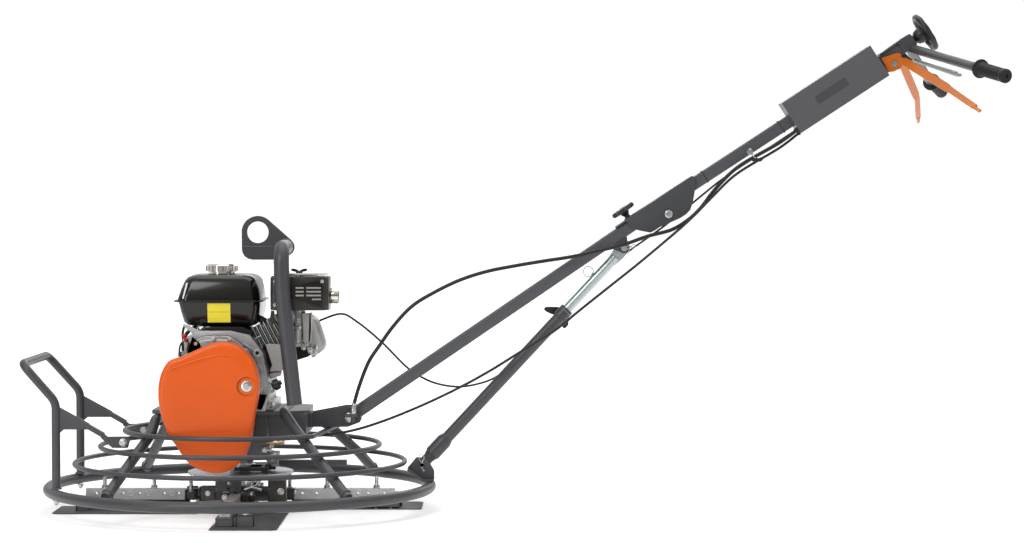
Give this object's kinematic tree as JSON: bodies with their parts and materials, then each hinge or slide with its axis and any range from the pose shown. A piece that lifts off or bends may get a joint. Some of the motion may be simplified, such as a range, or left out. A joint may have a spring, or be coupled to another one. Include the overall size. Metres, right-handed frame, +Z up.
{
  "type": "power trowel",
  "caption": "Walk-behind power trowel: ringed guard, bladed rotor, belt-driven worm gearbox, small petrol engine and a folding, tiltable tube handle.",
  "frame": {"origin": "middle of the base of the whole machine at rest, on the floor under the blades", "axes": "+Z up, +X along the handle towards the operator, Y across the machine; the belt cover is on the -Y side"},
  "size_m": [2.2948, 0.9478, 1.1976],
  "materials": {
    "grey_paint": "satin dark grey",
    "orange_paint": "satin orange",
    "cast_alloy": "as cast",
    "machined_steel": "machined",
    "blade_steel": "ground",
    "zinc": "zinc plated",
    "chrome": "polished",
    "black_gloss": "gloss black",
    "black_plastic": "moulded",
    "rubber": "moulded",
    "black_sheet": "heat-resistant black",
    "brass": "machined"
  },
  "bodies": {
    "frame": {"outer_ring": "grey_paint", "guard_ring_lower": "grey_paint", "guard_ring_middle": "grey_paint", "guard_ring_upper": "grey_paint", "base_frame": "grey_paint", "front_lift_handle": "grey_paint", "gearbox_housing": "cast_alloy", "gearbox_cover": "cast_alloy", "engine_block": "cast_alloy", "cylinder_head": "cast_alloy", "valve_cover": "cast_alloy", "fuel_tank": "black_gloss", "muffler": "black_sheet", "muffler_guard": "black_sheet", "air_cleaner": "black_plastic", "carburettor": "cast_alloy", "recoil_housing": "black_plastic", "belt_cover": "orange_paint", "belt_cover_back": "grey_paint", "drive_belt": "rubber", "lifting_bail": "grey_paint", "lifting_eye": "grey_paint", "handle_bracket": "grey_paint", "strut_bracket": "grey_paint", "pitch_cable": "rubber", "stop_cable": "rubber", "throttle_cable": "rubber"},
    "rotor": {"output_shaft": "machined_steel", "worm_wheel": "brass", "rotor_spider": "grey_paint"},
    "worm": {"worm_shaft": "machined_steel", "driven_pulley": "machined_steel"},
    "crank": {"crankshaft": "machined_steel", "drive_pulley": "machined_steel"},
    "thrust": {"thrust_plate": "machined_steel"},
    "yoke": {"pitch_yoke": "grey_paint"},
    "lower_tube": {"lower_handle": "grey_paint"},
    "upper_tube": {"upper_handle": "grey_paint", "control_box": "grey_paint", "handlebar": "grey_paint", "grip_near": "rubber", "grip_far": "rubber"},
    "tube_knob": {"fold_knob": "black_plastic"},
    "strut_sleeve": {"strut_outer": "grey_paint"},
    "strut_rod": {"strut_inner": "zinc"},
    "strut_wing": {"strut_knob": "black_plastic"},
    "wheel": {"hand_wheel": "black_plastic"},
    "safety_lever": {"operator_lever": "orange_paint"},
    "speed_lever": {"throttle_lever": "zinc"},
    "tank_cap": {"fuel_cap": "chrome"},
    "oil_dipstick": {"dipstick": "black_plastic"},
    "starter_grip": {"recoil_grip": "black_plastic"},
    "arm_1": {"trowel_arm_1": "grey_paint", "blade_1": "blade_steel"},
    "arm_2": {"trowel_arm_2": "grey_paint", "blade_2": "blade_steel"},
    "arm_3": {"trowel_arm_3": "grey_paint", "blade_3": "blade_steel"},
    "arm_4": {"trowel_arm_4": "grey_paint", "blade_4": "blade_steel"}
  },
  "joints": [
    {"name": "rotor_spin", "type": "hinge", "parent": "frame", "child": "rotor", "pos_m": [-0.6391, 0, 0.1], "axis": [0, 0, 1], "continuous": true},
    {"name": "worm_spin", "type": "hinge", "parent": "frame", "child": "worm", "pos_m": [-0.6821, 0, 0.183], "axis": [0, 1, 0], "continuous": true},
    {"name": "crank_spin", "type": "hinge", "parent": "frame", "child": "crank", "pos_m": [-0.6821, 0, 0.3515], "axis": [0, 1, 0], "continuous": true},
    {"name": "pitch_1", "type": "hinge", "parent": "rotor", "child": "arm_1", "pos_m": [-0.6391, -0.101, 0.0355], "axis": [0, 1, 0], "range_deg": [0, 25]},
    {"name": "pitch_2", "type": "hinge", "parent": "rotor", "child": "arm_2", "pos_m": [-0.5381, 0, 0.0355], "axis": [-1, 0, 0], "range_deg": [0, 25]},
    {"name": "pitch_3", "type": "hinge", "parent": "rotor", "child": "arm_3", "pos_m": [-0.6391, 0.101, 0.0355], "axis": [0, -1, 0], "range_deg": [0, 25]},
    {"name": "pitch_4", "type": "hinge", "parent": "rotor", "child": "arm_4", "pos_m": [-0.7401, 0, 0.0355], "axis": [1, 0, 0], "range_deg": [0, 25]},
    {"name": "thrust_slide", "type": "slide", "parent": "rotor", "child": "thrust", "axis": [0, 0, -1], "range_m": [0, 0.0195]},
    {"name": "yoke_tilt", "type": "hinge", "parent": "frame", "child": "yoke", "pos_m": [-0.5541, 0, 0.112], "axis": [0, -1, 0], "range_deg": [0, 12]},
    {"name": "hand_wheel_turn", "type": "hinge", "parent": "upper_tube", "child": "wheel", "pos_m": [0.98991, 0, 1.1349], "axis": [0.8368, 0, 0.5476], "range_deg": [0, 1080]},
    {"name": "handle_tilt", "type": "hinge", "parent": "frame", "child": "lower_tube", "pos_m": [-0.3721, 0, 0.2237], "axis": [0, -1, 0], "range_deg": [-4, 6], "deforming": ["pitch_cable", "stop_cable", "throttle_cable"]},
    {"name": "strut_swing", "type": "hinge", "parent": "frame", "child": "strut_sleeve", "pos_m": [-0.1981, 0, 0.107], "axis": [0, -1, 0], "range_deg": [-4.5, 6.6]},
    {"name": "strut_extend", "type": "slide", "parent": "strut_sleeve", "child": "strut_rod", "axis": [0.6816, 0, 0.7318], "range_m": [-0.016, 0.0235]},
    {"name": "handle_fold", "type": "hinge", "parent": "lower_tube", "child": "upper_tube", "pos_m": [0.3979, 0, 0.715], "axis": [0, 1, 0], "range_deg": [0, 80], "deforming": ["pitch_cable", "stop_cable", "throttle_cable"]},
    {"name": "fold_knob_turn", "type": "hinge", "parent": "upper_tube", "child": "tube_knob", "pos_m": [0.30122, 0, 0.70599], "axis": [-0.5625, 0, 0.8268], "continuous": true},
    {"name": "strut_knob_turn", "type": "hinge", "parent": "strut_sleeve", "child": "strut_wing", "pos_m": [0.14439, 0.0176, 0.4747], "axis": [0, 1, 0], "continuous": true},
    {"name": "operator_lever_squeeze", "type": "hinge", "parent": "upper_tube", "child": "safety_lever", "pos_m": [0.94124, 0, 1.07688], "axis": [0, -1, 0], "range_deg": [0, 14], "stiffness_Nm_per_rad": 12, "springref_deg": -14.32},
    {"name": "throttle_lever_turn", "type": "hinge", "parent": "upper_tube", "child": "speed_lever", "pos_m": [0.9824, -0.015, 1.086], "axis": [0, -1, 0], "range_deg": [0, 8]},
    {"name": "fuel_cap_turn", "type": "hinge", "parent": "frame", "child": "tank_cap", "pos_m": [-0.6821, -0.01, 0.5706], "axis": [0, 0, 1], "range_deg": [0, 90]},
    {"name": "dipstick_turn", "type": "hinge", "parent": "frame", "child": "oil_dipstick", "pos_m": [-0.55168, -0.108, 0.30407], "axis": [0.891, 0, 0.454], "continuous": true},
    {"name": "starter_pull", "type": "slide", "parent": "frame", "child": "starter_grip", "axis": [-0.7071, 0, 0.7071], "range_m": [0, 0.05]}
  ],
  "couplings": [
    {"joint": "worm_spin", "follows": "rotor_spin", "ratio": 20},
    {"joint": "crank_spin", "follows": "rotor_spin", "ratio": 40},
    {"joint": "pitch_2", "follows": "pitch_1", "ratio": 1},
    {"joint": "pitch_3", "follows": "pitch_1", "ratio": 1},
    {"joint": "pitch_4", "follows": "pitch_1", "ratio": 1},
    {"joint": "thrust_slide", "follows": "pitch_1", "m_per_rad": 0.044462},
    {"joint": "yoke_tilt", "follows": "pitch_1", "ratio": 0.476},
    {"joint": "hand_wheel_turn", "follows": "pitch_1", "ratio": 43},
    {"joint": "strut_swing", "follows": "handle_tilt", "ratio": 1.0463},
    {"joint": "strut_extend", "follows": "handle_tilt", "m_per_rad": 0.20686}
  ]
}
